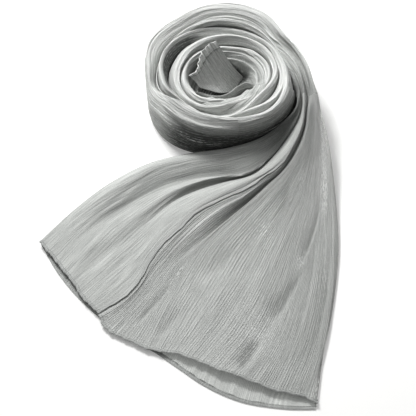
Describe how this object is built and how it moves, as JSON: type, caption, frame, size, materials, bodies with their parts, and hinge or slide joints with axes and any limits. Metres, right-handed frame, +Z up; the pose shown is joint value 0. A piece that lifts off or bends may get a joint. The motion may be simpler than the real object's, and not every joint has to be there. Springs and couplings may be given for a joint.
{
  "type": "crepe scarf",
  "caption": "Light grey crinkle crepe scarf, gathered and wound into a coil, its loose tail folded and fanned out flat.",
  "frame": {"origin": "centre of the scarf's plan, on the surface that it rests on", "axes": "+Z up; +Y from the tail's hem towards the coil; +X to the right, seen from above with the coil at the far end"},
  "size_m": [0.3132, 0.4791, 0.0502],
  "materials": {
    "crepe": "crinkled crepe with fine metallic threads",
    "hem": "narrow turned and stitched hem"
  },
  "bodies": {
    "root": {"outer_turn": "crepe", "second_turn": "crepe", "third_turn": "crepe", "fourth_turn": "crepe", "inner_turn": "crepe", "centre_end": "crepe", "centre_fold": "crepe", "centre_layers": "crepe", "tail_left_panel": "crepe", "tail_right_panel": "crepe", "tail_under_layer": "crepe", "left_hem": "hem", "right_hem": "hem", "under_hem": "hem", "long_edge_hem": "hem", "centre_hem": "hem"}
  },
  "joints": []
}
